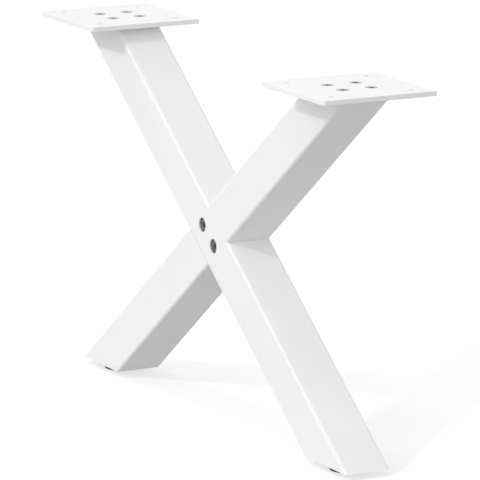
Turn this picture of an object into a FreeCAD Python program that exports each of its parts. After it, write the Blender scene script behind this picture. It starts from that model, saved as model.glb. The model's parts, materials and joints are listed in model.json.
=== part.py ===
import FreeCAD, Part
import math
import os

# X shaped leg for a low table or bench, in millimetres.
# The origin is on the floor, midway between the feet: +X runs from foot to foot,
# +Y to the rear and +Z up.
# Leg A falls from the upper left to the lower right, and its front half runs through
# the crossing. Leg B falls from the upper right to the lower left, and its rear half
# runs through. Each notch follows the other tube's rounded corners, so the faces close
# up flush. Lap plates close both tubes there, and two bolts clamp them.

# Layout of the X
leg_spread = 400.0
tube_rise = 296.0

# Square tube of both legs
tube_width = 40.0
tube_wall = 1.5
tube_corner_radius = 2.5

# Top plates, with holes for the table top's screws
plate_overhang = 30.0
plate_thickness = 4.0
plate_corner_radius = 2.0
plate_edge_radius = 0.4
top_hole_inset = 15.0
top_hole_diameter = 5.0

# Countersunk screws that hold each plate to its leg, inset from the tube's faces
plate_screw_inset = 7.5
plate_screw_diameter = 5.0
plate_screw_length = 12.0
plate_screw_head_diameter = 10.0
plate_screw_head_land = 0.3
plate_screw_sink = 0.1
plate_screw_key = 3.0
plate_screw_key_depth = 1.8

# Plates welded into the tube ends
top_cap_thickness = 6.0
bottom_cap_thickness = 3.0

# Half lap and its two bolts, each inset from the end of a tube's width on leg A
lap_plate_thickness = 2.0
cross_bolt_inset = 8.0
cross_bolt_diameter = 6.0
cross_bolt_head_diameter = 10.0
cross_bolt_head_height = 6.0
cross_bolt_sink = 1.2
cross_bolt_key = 5.0
cross_bolt_key_depth = 3.0
sleeve_wall = 2.0
cross_nut_flats = 10.0
cross_nut_height = 5.0
cross_bolt_overrun = 0.2

# Levelling feet
foot_pad_diameter = 28.0
foot_pad_height = 4.8
foot_pad_rim_radius = 0.6
foot_stud_diameter = 8.0
foot_stud_length = 16.0
foot_stud_disc_diameter = 16.0
foot_stud_disc_height = 2.0
foot_stud_disc_cover = 1.2
foot_nut_flats = 13.0
foot_nut_height = 6.5

# Clearances, all measured on one side
lap_side_clearance = 0.1
weld_gap = 0.1
thread_clearance = 0.08
screw_hole_clearance = 0.25
countersink_clearance = 0.1
counterbore_clearance = 1.0
moulding_clearance = 0.05
foot_seat_gap = 0.2
thread_chamfer = 0.5

# Places that follow from the sizes above
UP = FreeCAD.Vector(0, 0, 1)
REAR = FreeCAD.Vector(0, 1, 0)
tube_bottom = foot_pad_height + foot_seat_gap
tube_top = tube_bottom + tube_rise
crossing = FreeCAD.Vector(0, 0, tube_bottom + tube_rise / 2)
front_face = -tube_width / 2
leg_length = math.hypot(leg_spread, tube_rise)
leg_lean = math.degrees(math.atan2(tube_rise, leg_spread))
tube_inside = tube_width - 2 * tube_wall
plate_side = tube_width + 2 * plate_overhang
top_hole_spacing = plate_side - 2 * top_hole_inset
plate_screw_spacing = tube_width - 2 * plate_screw_inset
cross_bolt_spacing = tube_width - 2 * cross_bolt_inset

# A leg's lean is the turn about +Y that lays its length from level to falling right
LEAN_A = leg_lean
LEAN_B = -leg_lean
top_of_a = FreeCAD.Vector(-leg_spread / 2, 0, tube_top)
top_of_b = FreeCAD.Vector(leg_spread / 2, 0, tube_top)
foot_of_a = FreeCAD.Vector(leg_spread / 2, 0, tube_bottom)
foot_of_b = FreeCAD.Vector(-leg_spread / 2, 0, tube_bottom)


def along_leg(lean):
    """Unit vector along a leg, pointing to the right."""
    return FreeCAD.Rotation(REAR, lean).multVec(FreeCAD.Vector(1, 0, 0))


def across_leg(lean):
    """Unit vector across a leg in the plane of the X, pointing up."""
    return FreeCAD.Rotation(REAR, lean).multVec(UP)


def leg_bar(lean, width, corner_radius):
    """Solid square bar on a leg's axis, longer than the leg at both ends."""
    overrun = width * leg_spread / tube_rise
    length = leg_length + 2 * overrun
    bar = Part.makeBox(length, width, width, FreeCAD.Vector(-length / 2, -width / 2, -width / 2))
    if corner_radius > 0:
        long_edges = [edge for edge in bar.Edges if edge.Length > leg_length]
        bar = bar.makeFillet(corner_radius, long_edges)
    bar.Placement = FreeCAD.Placement(crossing, FreeCAD.Rotation(REAR, lean))
    return bar


def level_slab(low, high):
    """Everything between two heights."""
    reach = leg_spread + plate_side + tube_width
    return Part.makeBox(2 * reach, 2 * reach, high - low, FreeCAD.Vector(-reach, -reach, low))


def depth_slab(front, rear):
    """Everything between two depths."""
    reach = leg_spread + tube_rise + tube_width
    return Part.makeBox(2 * reach, rear - front, 2 * reach, FreeCAD.Vector(-reach, front, -reach))


def turned(profile, base, axis):
    """Solid of revolution from (radius, height) points, its foot at base."""
    points = [FreeCAD.Vector(radius, 0, height) for radius, height in profile]
    face = Part.Face(Part.makePolygon(points + points[:1]))
    solid = face.revolve(FreeCAD.Vector(0, 0, 0), UP, 360)
    solid.Placement = FreeCAD.Placement(base, FreeCAD.Rotation(UP, axis))
    return solid


def hole(diameter, base, axis, length):
    """Round cutter from base along axis."""
    return Part.makeCylinder(diameter / 2, length, base, axis)


def hex_bar(flats, base, axis, length, flat_normal):
    """Hexagonal prism from base along axis, one pair of flats square to flat_normal."""
    side = axis.cross(flat_normal)
    corner = flats / math.sqrt(3)
    points = []
    for step in range(6):
        turn = math.radians(30 + 60 * step)
        points.append(base + flat_normal * (corner * math.cos(turn)) + side * (corner * math.sin(turn)))
    return Part.Face(Part.makePolygon(points + points[:1])).extrude(axis * length)


def square_pattern(centre, spacing):
    """Four points at the corners of a level square."""
    signs = (-1, 1)
    return [centre + FreeCAD.Vector(x * spacing / 2, y * spacing / 2, 0) for x in signs for y in signs]


def cross_bolt_points(depth):
    """The two bolt axes on leg A's centre line, upper then lower, at one depth."""
    half = along_leg(LEAN_A) * (cross_bolt_spacing / 2)
    middle = crossing + REAR * depth
    return [middle - half, middle + half]


# Depths and diameters of the bolted lap
sleeve_bore = cross_bolt_head_diameter + 2 * counterbore_clearance
sleeve_diameter = sleeve_bore + 2 * sleeve_wall
bolt_head_top = front_face + cross_bolt_sink
bolt_seat = bolt_head_top + cross_bolt_head_height
cross_nut_end = lap_plate_thickness + cross_nut_height
cross_bolt_length = cross_nut_end + cross_bolt_overrun - bolt_seat
bolt_hole = cross_bolt_diameter + 2 * screw_hole_clearance


def lap_room(other_lean, front, rear):
    """Room for the other leg in a notched leg, round its corners too, between two depths."""
    width = tube_width + 2 * lap_side_clearance
    corner_radius = tube_corner_radius + lap_side_clearance
    return leg_bar(other_lean, width, corner_radius).common(depth_slab(front, rear))


def leg_tube(lean):
    """Square tube, cut level at both ends."""
    outer = leg_bar(lean, tube_width, tube_corner_radius)
    inner = leg_bar(lean, tube_inside, tube_corner_radius - tube_wall)
    return outer.cut(inner).common(level_slab(tube_bottom, tube_top))


def leg_a_tube():
    """Tube with its rear half notched for leg B, and two bolt openings in front."""
    tube = leg_tube(LEAN_A).cut(lap_room(LEAN_B, 0, tube_width))
    for point in cross_bolt_points(front_face):
        tube = tube.cut(hole(sleeve_bore, point, REAR, tube_wall))
    return tube


def leg_b_tube():
    """Tube with its front half notched for leg A."""
    return leg_tube(LEAN_B).cut(lap_room(LEAN_A, -tube_width, 0))


def end_cap(lean, low, high):
    """Plate that fills the inside of a tube between two heights."""
    inside = leg_bar(lean, tube_inside - 2 * weld_gap, tube_corner_radius - tube_wall)
    return inside.common(level_slab(low, high))


def top_cap(lean, top_centre):
    """Tapped plate flush with a tube's upper cut."""
    cap = end_cap(lean, tube_top - top_cap_thickness, tube_top)
    tapped = plate_screw_diameter + 2 * thread_clearance
    for point in square_pattern(top_centre, plate_screw_spacing):
        cap = cap.cut(hole(tapped, point - UP * top_cap_thickness, UP, top_cap_thickness))
    return cap


def bottom_cap(lean, foot_centre):
    """Plate flush with a tube's lower cut, with the hole for the foot's stud."""
    cap = end_cap(lean, tube_bottom, tube_bottom + bottom_cap_thickness)
    clear = foot_stud_diameter + 2 * screw_hole_clearance
    return cap.cut(hole(clear, foot_centre, UP, bottom_cap_thickness))


def lap_plate(own_lean, other_lean, front, rear):
    """Plate between a tube's walls that closes its notched half."""
    inside = leg_bar(own_lean, tube_inside - 2 * weld_gap, 0)
    plate = inside.common(lap_room(other_lean, front, rear))
    for point in cross_bolt_points(front):
        plate = plate.cut(hole(bolt_hole, point, REAR, rear - front))
    return plate


def bolt_sleeve(point):
    """Bush from the front wall to the lap plate, counterbored for the bolt's head."""
    length = -lap_plate_thickness - (front_face + tube_wall)
    seat_height = bolt_seat - (front_face + tube_wall)
    profile = [
        (bolt_hole / 2, seat_height),
        (sleeve_bore / 2, seat_height),
        (sleeve_bore / 2, 0),
        (sleeve_diameter / 2, 0),
        (sleeve_diameter / 2, length),
        (bolt_hole / 2, length),
    ]
    return turned(profile, point, REAR)


def cross_bolt(point):
    """Socket cap screw, with its head's top at point and its shank to the rear."""
    head = cross_bolt_head_diameter / 2
    shank = cross_bolt_diameter / 2
    end = cross_bolt_head_height + cross_bolt_length
    profile = [
        (0, 0),
        (head - thread_chamfer, 0),
        (head, thread_chamfer),
        (head, cross_bolt_head_height),
        (shank, cross_bolt_head_height),
        (shank, end - thread_chamfer),
        (shank - thread_chamfer, end),
        (0, end),
    ]
    key = hex_bar(cross_bolt_key, point, REAR, cross_bolt_key_depth, across_leg(LEAN_A))
    return turned(profile, point, REAR).cut(key)


def weld_nut(flats, height, thread_diameter, base, axis, flat_normal):
    """Hexagon nut that stands on its carrier at base."""
    bore = thread_diameter + 2 * thread_clearance
    return hex_bar(flats, base, axis, height, flat_normal).cut(hole(bore, base, axis, height))


def countersink(point):
    """Cutter for one countersunk hole, with its mouth at point."""
    mouth = plate_screw_head_diameter / 2 + countersink_clearance
    land = plate_screw_sink + plate_screw_head_land
    through = plate_screw_diameter / 2 + screw_hole_clearance
    profile = [
        (0, 0),
        (mouth, 0),
        (mouth, -land),
        (through, -land - (mouth - through)),
        (through, -plate_thickness),
        (0, -plate_thickness),
    ]
    return turned(profile, point, UP)


def top_plate(centre):
    """Square plate with four plain corner holes and four countersunk ones."""
    corner = FreeCAD.Vector(-plate_side / 2, -plate_side / 2, 0)
    plate = Part.makeBox(plate_side, plate_side, plate_thickness, centre + corner)
    upright = [edge for edge in plate.Edges if edge.BoundBox.ZLength > plate_thickness / 2]
    plate = plate.makeFillet(plate_corner_radius, upright)
    rims = [edge for edge in plate.Edges if edge.BoundBox.ZLength < plate_thickness / 2]
    plate = plate.makeFillet(plate_edge_radius, rims)
    for point in square_pattern(centre, top_hole_spacing):
        plate = plate.cut(hole(top_hole_diameter, point, UP, plate_thickness))
    for point in square_pattern(centre + UP * plate_thickness, plate_screw_spacing):
        plate = plate.cut(countersink(point))
    return plate


def plate_screw(point):
    """Countersunk screw in the plate, with its hole's mouth at point."""
    head = plate_screw_head_diameter / 2
    shank = plate_screw_diameter / 2
    cone_end = -plate_screw_head_land - (head - shank)
    profile = [
        (0, 0),
        (head, 0),
        (head, -plate_screw_head_land),
        (shank, cone_end),
        (shank, thread_chamfer - plate_screw_length),
        (shank - thread_chamfer, -plate_screw_length),
        (0, -plate_screw_length),
    ]
    head_top = point - UP * plate_screw_sink
    key_floor = head_top - UP * plate_screw_key_depth
    key = hex_bar(plate_screw_key, key_floor, UP, plate_screw_key_depth, REAR)
    return turned(profile, head_top, UP).cut(key)


def plate_screws(top_centre):
    """The four screws of one plate."""
    mouths = square_pattern(top_centre + UP * plate_thickness, plate_screw_spacing)
    return Part.makeCompound([plate_screw(point) for point in mouths])


# Heights in a foot, above the floor
disc_top = foot_pad_height - foot_stud_disc_cover
disc_bottom = disc_top - foot_stud_disc_height


def foot_stud(floor_point):
    """Threaded stud whose disc is moulded into the pad."""
    disc = foot_stud_disc_diameter / 2
    shank = foot_stud_diameter / 2
    end = foot_pad_height + foot_stud_length
    profile = [
        (0, disc_bottom),
        (disc, disc_bottom),
        (disc, disc_top),
        (shank, disc_top),
        (shank, end - thread_chamfer),
        (shank - thread_chamfer, end),
        (0, end),
    ]
    return turned(profile, floor_point, UP)


def foot_pad(floor_point):
    """Round moulded pad with a rounded lower rim, hollow where the stud's disc sits."""
    pad = Part.makeCylinder(foot_pad_diameter / 2, foot_pad_height, floor_point, UP)
    lower_rim = [edge for edge in pad.Edges if edge.BoundBox.ZMax < foot_pad_height / 2]
    pad = pad.makeFillet(foot_pad_rim_radius, lower_rim)
    disc = foot_stud_disc_diameter + 2 * moulding_clearance
    disc_depth = foot_stud_disc_height + 2 * moulding_clearance
    shank = foot_stud_diameter + 2 * moulding_clearance
    pad = pad.cut(hole(disc, floor_point + UP * (disc_bottom - moulding_clearance), UP, disc_depth))
    return pad.cut(hole(shank, floor_point + UP * disc_bottom, UP, foot_pad_height))


def floor_under(foot_centre):
    """The floor point under a tube's lower end."""
    return FreeCAD.Vector(foot_centre.x, foot_centre.y, 0)


nodes = {
    "leg_a_tube": leg_a_tube(),
    "leg_b_tube": leg_b_tube(),
    "leg_a_top_cap": top_cap(LEAN_A, top_of_a),
    "leg_b_top_cap": top_cap(LEAN_B, top_of_b),
    "leg_a_bottom_cap": bottom_cap(LEAN_A, foot_of_a),
    "leg_b_bottom_cap": bottom_cap(LEAN_B, foot_of_b),
    "leg_a_lap_plate": lap_plate(LEAN_A, LEAN_B, -lap_plate_thickness, 0),
    "leg_b_lap_plate": lap_plate(LEAN_B, LEAN_A, 0, lap_plate_thickness),
}

for leg, foot_centre in (("leg_a", foot_of_a), ("leg_b", foot_of_b)):
    nut_base = foot_centre + UP * bottom_cap_thickness
    nodes[leg + "_foot_nut"] = weld_nut(
        foot_nut_flats, foot_nut_height, foot_stud_diameter, nut_base, UP, REAR)

sleeve_starts = cross_bolt_points(front_face + tube_wall)
bolt_tops = cross_bolt_points(bolt_head_top)
nut_bases = cross_bolt_points(lap_plate_thickness)
for index, level in enumerate(("upper", "lower")):
    nodes[level + "_bolt_sleeve"] = bolt_sleeve(sleeve_starts[index])
    nodes[level + "_cross_bolt"] = cross_bolt(bolt_tops[index])
    nodes[level + "_cross_nut"] = weld_nut(
        cross_nut_flats, cross_nut_height, cross_bolt_diameter,
        nut_bases[index], REAR, across_leg(LEAN_B))

for side, top_centre, foot_centre in (("left", top_of_a, foot_of_b), ("right", top_of_b, foot_of_a)):
    nodes[side + "_top_plate"] = top_plate(top_centre)
    nodes[side + "_plate_screws"] = plate_screws(top_centre)
    nodes[side + "_foot_stud"] = foot_stud(floor_under(foot_centre))
    nodes[side + "_foot_pad"] = foot_pad(floor_under(foot_centre))

os.makedirs("parts", exist_ok=True)
for name, shape in nodes.items():
    shape.exportStep("parts/" + name + ".step")
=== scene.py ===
import json
import math

import bmesh
import bpy
from mathutils import Matrix, Vector


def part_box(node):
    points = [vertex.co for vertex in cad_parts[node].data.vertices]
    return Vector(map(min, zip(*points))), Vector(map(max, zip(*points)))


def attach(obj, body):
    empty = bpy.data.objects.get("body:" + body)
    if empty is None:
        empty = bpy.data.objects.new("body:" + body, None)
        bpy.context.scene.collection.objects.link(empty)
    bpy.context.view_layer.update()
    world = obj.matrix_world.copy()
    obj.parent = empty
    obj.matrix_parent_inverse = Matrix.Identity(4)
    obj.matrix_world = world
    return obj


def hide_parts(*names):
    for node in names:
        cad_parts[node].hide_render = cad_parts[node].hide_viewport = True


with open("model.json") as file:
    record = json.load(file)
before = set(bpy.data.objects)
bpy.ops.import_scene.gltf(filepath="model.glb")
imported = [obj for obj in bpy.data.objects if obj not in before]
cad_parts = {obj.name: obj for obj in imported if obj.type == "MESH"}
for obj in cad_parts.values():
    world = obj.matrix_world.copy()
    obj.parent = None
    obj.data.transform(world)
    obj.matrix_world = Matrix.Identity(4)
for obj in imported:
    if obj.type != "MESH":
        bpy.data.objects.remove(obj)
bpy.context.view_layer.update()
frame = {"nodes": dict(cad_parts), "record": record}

MM = 0.001
UP = Vector((0, 0, 1))
REAR = Vector((0, 1, 0))
TURN = 2 * math.pi


def centre_of(node):
    """Middle of a node's box."""
    low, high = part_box(node)
    return (low + high) / 2


def new_object(name, data):
    """An object in the scene that holds the data."""
    obj = bpy.data.objects.new(name, data)
    bpy.context.scene.collection.objects.link(obj)
    return obj


# Surfaces built from rings of points

# Points in each ring
SEGMENTS = 96
# Rings in each pitch of a thread
PITCH_STEPS = 8
# Slope of a thread's flanks: above 1 the groove has a flat root
FLANK_SLOPE = 1.25
# Steps in the quarter turn of a rounded rim
RIM_STEPS = 6
# An edge stays sharp where its faces meet at more than this angle
SHARP_ANGLE = math.radians(32)
# Face attribute with a painted grey for a socket's floor or walls, painted shade or painted light
# in place of the recess's own shading, 0 on all other faces
PAINTED_SOCKET_SHADING = "painted_socket_shading"


def round_ring(radius):
    """Radius at any angle of a circle."""
    return lambda angle: radius


def hex_ring(flats):
    """Radius at any angle of a hexagon with flats square to angle zero."""
    side = math.pi / 3

    def radius(angle):
        off_middle = (angle + side / 2) % side - side / 2
        return flats / 2 / math.cos(off_middle)
    return radius


def key_mouth(flats, room):
    """Radius at any angle of a hex socket's round mouth, with room outside its corners."""
    return round_ring(flats / math.sqrt(3) + room)


def knurl_ring(radius, depth, teeth):
    """Radius at any angle of a cylinder with straight knurling."""
    return lambda angle: radius - depth / 2 * (1 - math.cos(teeth * angle))


def thread_ring(major, depth, turns, pared):
    """Radius at any angle of a right-hand thread, at a height of some turns.

    A depth below 0 cuts outwards, as in a nut. Pared is what a chamfer takes off the crest.
    """
    def radius(angle):
        phase = (turns - angle / TURN) % 1.0
        cut = depth * min(1.0, FLANK_SLOPE * (1 - abs(2 * phase - 1)))
        return major - (max(cut, pared) if pared else cut)
    return radius


def thread_rings(start, end, major, pitch, depth, chamfer):
    """(ring, height) pairs of a thread: it deepens over a pitch, and chamfer bevels its end."""
    length = abs(end - start)
    steps = PITCH_STEPS * round(length / pitch)
    rings = []
    for step in range(steps + 1):
        along = step / steps * length
        height = start + (end - start) * step / steps
        fade = min(1.0, along / pitch)
        pared = max(0.0, along - length + chamfer)
        rings.append((thread_ring(major, depth * fade, height / pitch, pared), height))
    return rings


def rim_rings(centre_radius, centre_height, radius, start):
    """(ring, height) pairs of a rounded rim: a quarter turn from start degrees."""
    rings = []
    for step in range(RIM_STEPS + 1):
        angle = math.radians(start + 90 * step / RIM_STEPS)
        ring = round_ring(centre_radius + radius * math.cos(angle))
        rings.append((ring, centre_height + radius * math.sin(angle)))
    return rings


def skin(mesh, rings, segments, closed):
    """Adds a surface through the rings to a bmesh and returns its faces, band by band.

    An open surface starts and ends with a flat face. A closed one joins its last ring to
    its first.
    """
    loops = []
    for radius, height in rings:
        loop = []
        for step in range(segments):
            angle = TURN * step / segments
            reach = radius(angle)
            loop.append(mesh.verts.new((reach * math.cos(angle), reach * math.sin(angle), height)))
        loops.append(loop)
    pairs = list(zip(loops, loops[1:]))
    if closed:
        pairs.append((loops[-1], loops[0]))
    bands = [] if closed else [[mesh.faces.new(loops[0])]]
    for near, far in pairs:
        band = []
        for step in range(segments):
            after = (step + 1) % segments
            band.append(mesh.faces.new((near[step], near[after], far[after], far[step])))
        bands.append(band)
    if not closed:
        bands.append([mesh.faces.new(loops[-1])])
    return bands


def placed(base, axis, flat_normal):
    """Matrix that lays local +Z along axis and local +X along flat_normal at base."""
    side = axis.cross(flat_normal)
    turn = Matrix((flat_normal, side, axis)).transposed().to_4x4()
    return Matrix.Translation(base) @ turn


def piece(replaced, ending, copies, rings, body, slot, segments=SEGMENTS, closed=False, painted_shading=()):
    """Replaces a node by a ring surface at each placing, its first bands painted with greys that
    stand in for shade or light.
    """
    name = replaced + ending
    whole = bmesh.new()
    painted_socket_shading = whole.faces.layers.float.new(PAINTED_SOCKET_SHADING)
    for matrix in copies:
        before = set(whole.verts)
        bands = skin(whole, rings, segments, closed)
        # The first bands take painted greys that stand in for the socket's shade or light
        for band, grey in zip(bands, painted_shading):
            for face in band:
                face[painted_socket_shading] = grey
        fresh = [vert for vert in whole.verts if vert not in before]
        bmesh.ops.transform(whole, matrix=matrix, verts=fresh)
    bmesh.ops.recalc_face_normals(whole, faces=whole.faces)
    data = bpy.data.meshes.new(name)
    whole.to_mesh(data)
    whole.free()
    data.shade_smooth()
    data.set_sharp_from_angle(angle=SHARP_ANGLE)
    data.materials.append(FINISHES[slot])
    obj = new_object(name, data)
    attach(obj, body)
    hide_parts(replaced)


# Materials

# The part of a noise's range that is spread over two colours, or over two other values
COLOUR_RANGE = (0.35, 0.65)
VALUE_RANGE = (0.3, 0.7)


class Finish:
    """A material whose colour, roughness and bump follow noises over the object."""

    def __init__(self, name):
        self.material = bpy.data.materials.new(name)
        self.material.use_nodes = True
        self.nodes = self.material.node_tree.nodes
        self.links = self.material.node_tree.links
        self.shader = self.nodes["Principled BSDF"]
        self.place = self.nodes.new("ShaderNodeTexCoord")

    def noise(self, scale, detail):
        """A noise in the object's own coordinates."""
        texture = self.nodes.new("ShaderNodeTexNoise")
        texture.inputs["Scale"].default_value = scale
        texture.inputs["Detail"].default_value = detail
        self.links.new(self.place.outputs["Object"], texture.inputs["Vector"])
        return texture.outputs["Fac"]

    def blend(self, noise, dark, light):
        """A colour that goes from dark to light with a noise."""
        ramp = self.nodes.new("ShaderNodeValToRGB")
        for stop, position, colour in zip(ramp.color_ramp.elements, COLOUR_RANGE, (dark, light)):
            stop.position = position
            stop.color = (*colour, 1)
        self.links.new(noise, ramp.inputs["Fac"])
        return ramp.outputs["Color"]

    def with_painted_socket_shading(self, colour):
        """The colour, but for faces with a painted socket grey, which take that grey: painted
        shade or painted light in the socket.
        """
        grey = self.nodes.new("ShaderNodeAttribute")
        grey.attribute_name = PAINTED_SOCKET_SHADING
        painted_face = self.nodes.new("ShaderNodeMath")
        painted_face.operation = "GREATER_THAN"
        painted_face.inputs[1].default_value = 0.0
        mixed = self.nodes.new("ShaderNodeMixRGB")
        self.links.new(grey.outputs["Fac"], painted_face.inputs[0])
        self.links.new(painted_face.outputs[0], mixed.inputs["Fac"])
        self.links.new(colour, mixed.inputs["Color1"])
        self.links.new(grey.outputs["Color"], mixed.inputs["Color2"])
        return mixed.outputs["Color"]

    def colour(self, colour):
        """Gives the surface a colour."""
        self.links.new(colour, self.shader.inputs["Base Color"])

    def roughness(self, noise, low, high):
        """Spreads the roughness between two values by a noise."""
        span = self.nodes.new("ShaderNodeMapRange")
        span.inputs["From Min"].default_value, span.inputs["From Max"].default_value = VALUE_RANGE
        span.inputs["To Min"].default_value = low
        span.inputs["To Max"].default_value = high
        self.links.new(noise, span.inputs["Value"])
        self.links.new(span.outputs["Result"], self.shader.inputs["Roughness"])

    def bump(self, noise, depth, strength):
        """Raises the surface by a noise, depth metres at full strength."""
        raised = self.nodes.new("ShaderNodeBump")
        raised.inputs["Distance"].default_value = depth
        raised.inputs["Strength"].default_value = strength
        self.links.new(noise, raised.inputs["Height"])
        self.links.new(raised.outputs["Normal"], self.shader.inputs["Normal"])


def white_coat():
    """Satin white powder coat with a fine orange peel."""
    finish = Finish("white_powder_coat")
    mottle = finish.noise(scale=18, detail=3)
    finish.colour(finish.blend(mottle, dark=(0.885, 0.885, 0.885), light=(0.905, 0.905, 0.905)))
    finish.roughness(finish.noise(scale=60, detail=4), low=0.46, high=0.54)
    finish.bump(finish.noise(scale=620, detail=2), depth=0.04 * MM, strength=0.35)
    return finish.material


def steel(name, dark, light, rough_low, rough_high):
    """Plated or blackened steel with a faint mottle, and painted shade or painted light in its
    sockets.
    """
    finish = Finish(name)
    finish.shader.inputs["Metallic"].default_value = 1.0
    mottle = finish.noise(scale=350, detail=3)
    # Faces with a painted socket grey take it instead of the mottle: painted shade or painted
    # light
    finish.colour(finish.with_painted_socket_shading(finish.blend(mottle, dark, light)))
    finish.roughness(finish.noise(scale=900, detail=3), rough_low, rough_high)
    finish.bump(finish.noise(scale=2500, detail=2), depth=0.01 * MM, strength=0.3)
    return finish.material


def black_plastic():
    """Matt moulded plastic with a fine eroded texture."""
    finish = Finish("black_moulded_plastic")
    finish.shader.inputs["Specular IOR Level"].default_value = 0.3
    mottle = finish.noise(scale=120, detail=3)
    finish.colour(finish.blend(mottle, dark=(0.018, 0.018, 0.019), light=(0.028, 0.028, 0.029)))
    finish.roughness(finish.noise(scale=1500, detail=2), low=0.42, high=0.6)
    finish.bump(finish.noise(scale=2600, detail=2), depth=0.03 * MM, strength=0.5)
    return finish.material


FINISHES = {
    "white_coat": white_coat(),
    "zinc": steel("zinc_plated_steel", dark=(0.33, 0.34, 0.35), light=(0.43, 0.44, 0.45),
                  rough_low=0.28, rough_high=0.44),
    "dark_steel": steel("blackened_steel", dark=(0.16, 0.16, 0.165), light=(0.22, 0.22, 0.225),
                        rough_low=0.36, rough_high=0.50),
    "black_plastic": black_plastic(),
}

for part in frame["record"]["subparts"]:
    data = frame["nodes"][part["node"]].data
    data.materials.clear()
    data.materials.append(FINISHES[part["material_slot"]])


# Screws, bolts and nuts

# In each piece head, shank, bore and disc are radii, and key is a socket's width across flats

# Thread diameter and pitch of each size, and the nuts' widths across flats
M5, M5_PITCH = 5 * MM, 0.8 * MM
M6, M6_PITCH, M6_FLATS = 6 * MM, 1.0 * MM, 10 * MM
M8, M8_PITCH, M8_FLATS = 8 * MM, 1.25 * MM, 13 * MM
# Room round a screw's thread in its nut
NUT_ROOM = 0.08 * MM
# Painted greys in the hex sockets: painted shade on the screws' sockets and on the bolts' socket
# floors, painted light on the bolts' socket walls
SCREW_SOCKET_PAINTED_SHADE = 0.01
BOLT_SOCKET_FLOOR_PAINTED_SHADE = 0.05
BOLT_SOCKET_WALL_PAINTED_LIGHT = 0.70
# The cross bolts lie along tube A, whose lean tube B mirrors
BOLT_LINE = (centre_of("lower_cross_bolt") - centre_of("upper_cross_bolt")).normalized()
ACROSS_A = Vector((-BOLT_LINE.z, 0, BOLT_LINE.x))
ACROSS_B = Vector((BOLT_LINE.z, 0, BOLT_LINE.x))


def plate_screws(side):
    """Four countersunk socket screws with rolled threads."""
    node = side + "_plate_screws"
    low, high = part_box(node)
    head, shank = 5.0 * MM, M5 / 2
    land, edge = 0.3 * MM, 0.15 * MM
    key, key_depth, key_chamfer, mouth_room = 3.0 * MM, 1.8 * MM, 0.2 * MM, 0.07 * MM
    plain, thread_depth, tip = 0.2 * MM, 0.42 * MM, 0.5 * MM
    length = high.z - low.z
    cone_end = land + head - shank
    rings = [
        (hex_ring(key), -key_depth),
        (hex_ring(key), -key_chamfer),
        (key_mouth(key, mouth_room), 0),
        (round_ring(head - edge), 0),
        (round_ring(head), -edge),
        (round_ring(head), -land),
        (round_ring(shank), -cone_end),
    ]
    rings += thread_rings(-cone_end - plain, -length, shank, M5_PITCH, thread_depth, tip)
    copies = []
    for x in (low.x + head, high.x - head):
        for y in (low.y + head, high.y - head):
            copies.append(placed(Vector((x, y, high.z)), UP, REAR))
    # The screws' socket faces take a near-black painted shade
    socket = (SCREW_SOCKET_PAINTED_SHADE, SCREW_SOCKET_PAINTED_SHADE, SCREW_SOCKET_PAINTED_SHADE)
    piece(node, "_threaded", copies, rings, "frame", "zinc", painted_shading=socket)


def cross_bolt(level):
    """Socket cap screw with a knurled head and a rolled thread."""
    node = level + "_cross_bolt"
    low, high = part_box(node)
    middle = centre_of(node)
    head, shank, head_height = 5.0 * MM, M6 / 2, 6.0 * MM
    edge, edge_inset, edge_rise = 0.5 * MM, 0.06 * MM, 0.3 * MM
    key, key_depth, key_chamfer, mouth_room = 5.0 * MM, 3.0 * MM, 0.25 * MM, 0.1 * MM
    knurl_depth, teeth = 0.12 * MM, 48
    knurl_top, knurl_end, knurl_run = 1.0 * MM, 5.4 * MM, 0.1 * MM
    neck, plain, thread_depth, tip = 0.2 * MM, 0.8 * MM, 0.55 * MM, 0.6 * MM
    knurl = knurl_ring(head, knurl_depth, teeth)
    rings = [
        (hex_ring(key), key_depth),
        (hex_ring(key), key_chamfer),
        (key_mouth(key, mouth_room), 0),
        (round_ring(head - edge), 0),
        (round_ring(head - edge_inset), edge_rise),
        (round_ring(head), edge),
        (round_ring(head), knurl_top),
        (knurl, knurl_top + knurl_run),
        (knurl, knurl_end - knurl_run),
        (round_ring(head), knurl_end),
        (round_ring(head), head_height),
        (round_ring(shank + neck), head_height),
        (round_ring(shank), head_height + neck),
    ]
    thread_start, length = head_height + plain, high.y - low.y
    rings += thread_rings(thread_start, length, shank, M6_PITCH, thread_depth, tip)
    copies = [placed(Vector((middle.x, low.y, middle.z)), REAR, ACROSS_A)]
    # The bolt's socket floor takes a dark painted shade, and its walls a light grey painted in
    # place of light
    socket = (BOLT_SOCKET_FLOOR_PAINTED_SHADE, BOLT_SOCKET_WALL_PAINTED_LIGHT)
    piece(node, "_threaded", copies, rings, "frame", "dark_steel", 2 * SEGMENTS, painted_shading=socket)


def weld_nut(node, thread, pitch, flats, axis, flat_normal):
    """Hexagon nut with chamfered corners and a threaded bore that stays clear of its screw."""
    low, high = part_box(node)
    height = (high - low).dot(axis)
    base = centre_of(node) - axis * (height / 2)
    corner, mouth, thread_depth = 0.08 * flats, 0.3 * MM, 0.3 * MM
    bore = thread / 2 + NUT_ROOM
    rings = [
        (round_ring(bore + mouth), 0),
        (round_ring(flats / 2), 0),
        (hex_ring(flats), corner),
        (hex_ring(flats), height - corner),
        (round_ring(flats / 2), height),
        (round_ring(bore + mouth), height),
    ]
    rings += thread_rings(height - mouth, mouth, bore, pitch, -thread_depth, 0.0)
    copies = [placed(base, axis, flat_normal)]
    piece(node, "_threaded", copies, rings, "frame", "zinc", closed=True)


for side in ("left", "right"):
    plate_screws(side)
for level in ("upper", "lower"):
    cross_bolt(level)
    weld_nut(level + "_cross_nut", M6, M6_PITCH, M6_FLATS, REAR, ACROSS_B)
for leg in ("leg_a", "leg_b"):
    weld_nut(leg + "_foot_nut", M8, M8_PITCH, M8_FLATS, UP, REAR)


# Levelling feet

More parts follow.
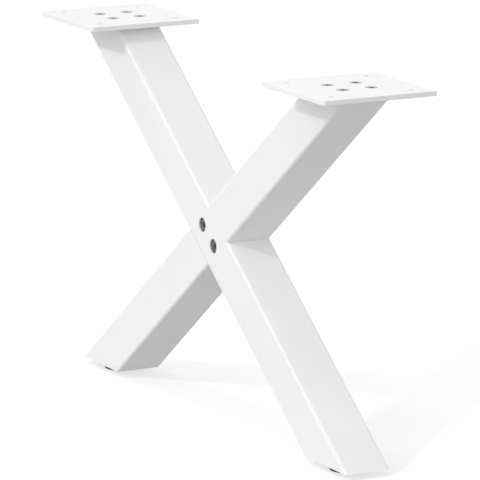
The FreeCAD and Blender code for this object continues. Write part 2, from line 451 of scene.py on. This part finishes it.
# Radii of the stud's shank and disc, and the disc's height
STUD_SHANK = M8 / 2
STUD_DISC = 8.0 * MM
STUD_DISC_HEIGHT = 2.0 * MM
# Room between the stud and the pad that is moulded round its disc
PAD_ROOM = 0.05 * MM


def foot_stud(side):
    """Stud with a disc inside the pad and a rolled thread above it."""
    node = side + "_foot_stud"
    low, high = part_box(node)
    middle = centre_of(node)
    plain, thread_depth, tip = 1.6 * MM, 0.68 * MM, 0.8 * MM
    rings = [
        (round_ring(STUD_DISC), 0),
        (round_ring(STUD_DISC), STUD_DISC_HEIGHT),
        (round_ring(STUD_SHANK), STUD_DISC_HEIGHT),
    ]
    thread_start, length = STUD_DISC_HEIGHT + plain, high.z - low.z
    rings += thread_rings(thread_start, length, STUD_SHANK, M8_PITCH, thread_depth, tip)
    copies = [placed(Vector((middle.x, middle.y, low.z)), UP, REAR)]
    piece(node, "_threaded", copies, rings, side + "_foot", "zinc")


def foot_pad(side):
    """Moulded pad: rounded rims, a shallow ring in its underside and the disc's hollow."""
    node = side + "_foot_pad"
    low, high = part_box(node)
    middle = centre_of(node)
    outer, height = (high.x - low.x) / 2, high.z - low.z
    lower_rim, upper_rim = 0.6 * MM, 0.4 * MM
    shank, disc = STUD_SHANK + PAD_ROOM, STUD_DISC + PAD_ROOM
    stud_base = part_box(side + "_foot_stud")[0].z - low.z
    hollow_floor = stud_base - PAD_ROOM
    hollow_roof = stud_base + STUD_DISC_HEIGHT + PAD_ROOM
    groove, groove_width, groove_depth, groove_slope = 7.5 * MM, 1.2 * MM, 0.3 * MM, 0.24 * MM
    rings = [
        (round_ring(groove), 0),
        (round_ring(groove + groove_slope), groove_depth),
        (round_ring(groove + groove_width - groove_slope), groove_depth),
        (round_ring(groove + groove_width), 0),
    ]
    rings += rim_rings(outer - lower_rim, lower_rim, lower_rim, -90)
    rings += rim_rings(outer - upper_rim, height - upper_rim, upper_rim, 0)
    rings += [
        (round_ring(shank), height),
        (round_ring(shank), hollow_roof),
        (round_ring(disc), hollow_roof),
        (round_ring(disc), hollow_floor),
    ]
    copies = [placed(Vector((middle.x, middle.y, low.z)), UP, REAR)]
    piece(node, "_moulded", copies, rings, side + "_foot", "black_plastic")


for side in ("left", "right"):
    foot_stud(side)
    foot_pad(side)


# Floor and light

# The floor's half width, its light on the object, and its grey and glow where it is seen
FLOOR_REACH = 12.0
FLOOR_BOUNCE = 0.44
FLOOR_SEEN = 0.5
FLOOR_GLOW = 0.55
# The sky's level in a direction is SKY_EVEN plus the direction's dot product with SKY_LEAN
SKY_EVEN = 1.08
SKY_LEAN = (0.02, -0.255, -0.41)
# Each lamp's name, azimuth, elevation, level and angular size, angles in degrees
LAMPS = (
    ("left_lamp", -75.0, 50.0, 0.11, 10.0),
    ("front_lamp", 0.0, 36.0, 0.235, 4.0),
)


def seen_directly(nodes, links):
    """1 where a camera, glossy or transmission ray looks."""
    path = nodes.new("ShaderNodeLightPath")
    total = path.outputs["Is Camera Ray"]
    for name in ("Is Glossy Ray", "Is Transmission Ray"):
        larger = nodes.new("ShaderNodeMath")
        larger.operation = "MAXIMUM"
        links.new(total, larger.inputs[0])
        links.new(path.outputs[name], larger.inputs[1])
        total = larger.outputs[0]
    return total


def split_by_ray(nodes, links, seen, lighting, output):
    """Ends a material or world: one shader where it is seen directly, else the other."""
    mix = nodes.new("ShaderNodeMixShader")
    out = nodes.new(output)
    links.new(seen_directly(nodes, links), mix.inputs["Fac"])
    links.new(lighting.outputs[0], mix.inputs[1])
    links.new(seen.outputs[0], mix.inputs[2])
    links.new(mix.outputs[0], out.inputs["Surface"])


def floor():
    """Plain floor that is seen white, keeps the object's shadow and lights it from below."""
    data = bpy.data.meshes.new("floor")
    outline = [(-1, -1), (1, -1), (1, 1), (-1, 1)]
    corners = [(FLOOR_REACH * x, FLOOR_REACH * y, 0) for x, y in outline]
    data.from_pydata(corners, [], [(0, 1, 2, 3)])
    obj = new_object("floor", data)
    material = bpy.data.materials.new("pale_floor")
    material.use_nodes = True
    nodes = material.node_tree.nodes
    links = material.node_tree.links
    nodes.clear()
    bounce = nodes.new("ShaderNodeEmission")
    bounce.inputs["Strength"].default_value = FLOOR_BOUNCE
    matt = nodes.new("ShaderNodeBsdfDiffuse")
    matt.inputs["Color"].default_value = (FLOOR_SEEN, FLOOR_SEEN, FLOOR_SEEN, 1)
    glow = nodes.new("ShaderNodeEmission")
    glow.inputs["Strength"].default_value = FLOOR_GLOW
    seen = nodes.new("ShaderNodeAddShader")
    links.new(matt.outputs[0], seen.inputs[0])
    links.new(glow.outputs[0], seen.inputs[1])
    split_by_ray(nodes, links, seen, bounce, "ShaderNodeOutputMaterial")
    data.materials.append(material)


def background(nodes):
    """A plain white background."""
    shader = nodes.new("ShaderNodeBackground")
    shader.inputs["Color"].default_value = (1, 1, 1, 1)
    shader.inputs["Strength"].default_value = 1.0
    return shader


def sky():
    """Soft studio light from all round, stronger in front and weaker on top, seen white."""
    world = bpy.data.worlds.new("studio")
    bpy.context.scene.world = world
    world.use_nodes = True
    nodes = world.node_tree.nodes
    links = world.node_tree.links
    nodes.clear()
    place = nodes.new("ShaderNodeTexCoord")
    lean = nodes.new("ShaderNodeVectorMath")
    lean.operation = "DOT_PRODUCT"
    lean.inputs[1].default_value = SKY_LEAN
    level = nodes.new("ShaderNodeMath")
    level.operation = "ADD"
    level.inputs[1].default_value = SKY_EVEN
    soft = background(nodes)
    links.new(place.outputs["Generated"], lean.inputs[0])
    links.new(lean.outputs["Value"], level.inputs[0])
    links.new(level.outputs[0], soft.inputs["Strength"])
    split_by_ray(nodes, links, background(nodes), soft, "ShaderNodeOutputWorld")


def from_angles(azimuth, elevation):
    """Unit vector towards an azimuth, counted from the front to the right, and an elevation."""
    level = math.cos(elevation)
    return Vector((math.sin(azimuth) * level, -math.cos(azimuth) * level, math.sin(elevation)))


def lamp(name, azimuth, elevation, level, size):
    """Distant soft lamp, unseen in reflections, that lights a surface square to it to a level."""
    data = bpy.data.lights.new(name, "SUN")
    data.energy = level * math.pi
    data.angle = math.radians(size)
    obj = new_object(name, data)
    source = from_angles(math.radians(azimuth), math.radians(elevation))
    obj.rotation_euler = source.to_track_quat("Z", "Y").to_euler()
    obj.visible_glossy = False


# Camera, solved from the photograph

AZIMUTH = math.radians(62.284)
ELEVATION = math.radians(11.541)
ROLL = math.radians(0.061)
# Distance from AIM, and shift of both to the camera's right and up
DISTANCE = 3.9593
AIM = Vector((0, 0, 0.153))
AIM_RIGHT = 0.00860
AIM_UP = -0.00548
# Focal length and width of the photograph in pixels, and the sensor's width in millimetres
FOCAL_PIXELS = 4859.7
FRAME_PIXELS = 480
SENSOR = 36.0


def camera():
    """Camera at the photograph's viewing angle."""
    back = from_angles(AZIMUTH, ELEVATION)
    right = Vector((math.cos(AZIMUTH), math.sin(AZIMUTH), 0))
    up = back.cross(right)
    rolled_right = right * math.cos(ROLL) + up * math.sin(ROLL)
    rolled_up = up * math.cos(ROLL) - right * math.sin(ROLL)
    data = bpy.data.cameras.new("camera")
    data.sensor_width = SENSOR
    data.lens = FOCAL_PIXELS * SENSOR / FRAME_PIXELS
    obj = new_object("camera", data)
    turn = Matrix((rolled_right, rolled_up, back)).transposed().to_4x4()
    place = AIM + back * DISTANCE + right * AIM_RIGHT + up * AIM_UP
    obj.matrix_world = Matrix.Translation(place) @ turn
    bpy.context.scene.camera = obj


floor()
sky()
for settings in LAMPS:
    lamp(*settings)
camera()
bpy.context.scene.view_settings.view_transform = "Standard"
